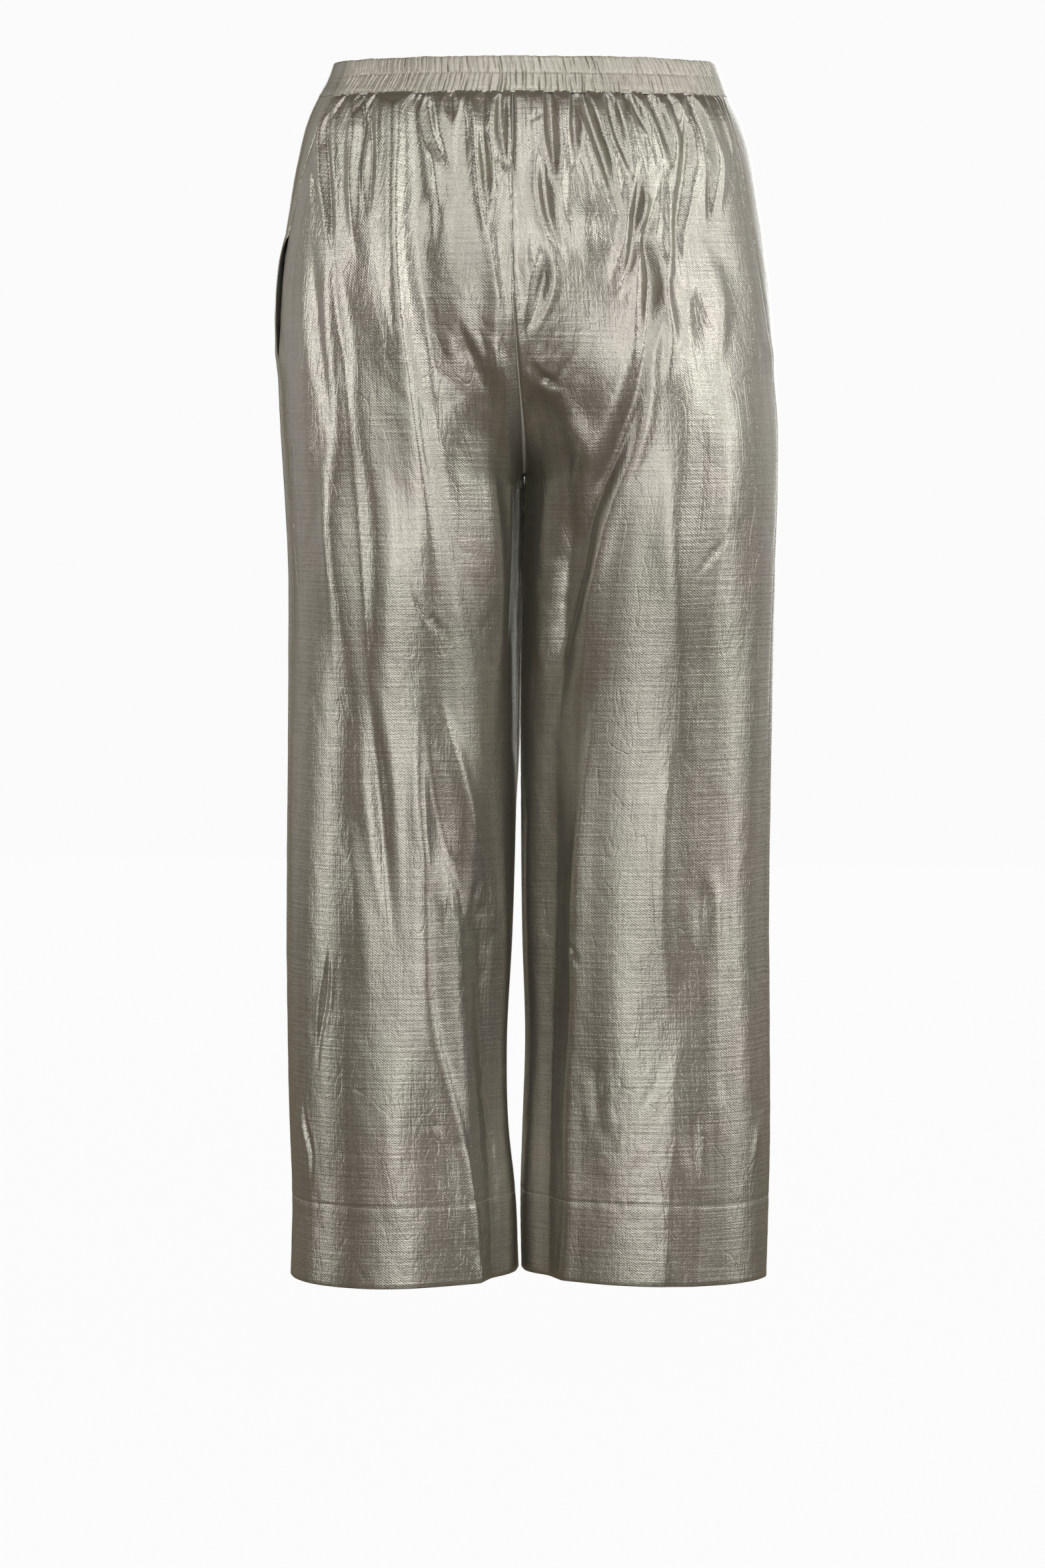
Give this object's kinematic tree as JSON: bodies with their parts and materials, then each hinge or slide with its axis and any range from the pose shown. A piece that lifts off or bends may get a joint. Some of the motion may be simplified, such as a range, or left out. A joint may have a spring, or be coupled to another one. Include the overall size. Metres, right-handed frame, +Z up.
{
  "type": "straight trousers",
  "caption": "Ankle-length straight trousers in satin, hollow and in worn shape, with a gathered elastic back waistband, flat front, in-seam pockets and deep hems.",
  "frame": {"origin": "the centre of the waist opening at half the waistband's height, where a wearer or a form holds the trousers", "axes": "+Z up along the legs, -Y the way the front faces, +X the garment's own left"},
  "size_m": [0.3844, 0.2498, 0.9334],
  "materials": {
    "satin": "changeable silk satin in sage green and warm taupe",
    "pocketing": "the same silk, wrong side out"
  },
  "bodies": {
    "root": {"back_left": "satin", "back_right": "satin", "front_left": "satin", "front_right": "satin", "waistband_back": "satin", "waistband_front": "satin", "pocket_left": "pocketing", "pocket_right": "pocketing"}
  },
  "joints": []
}
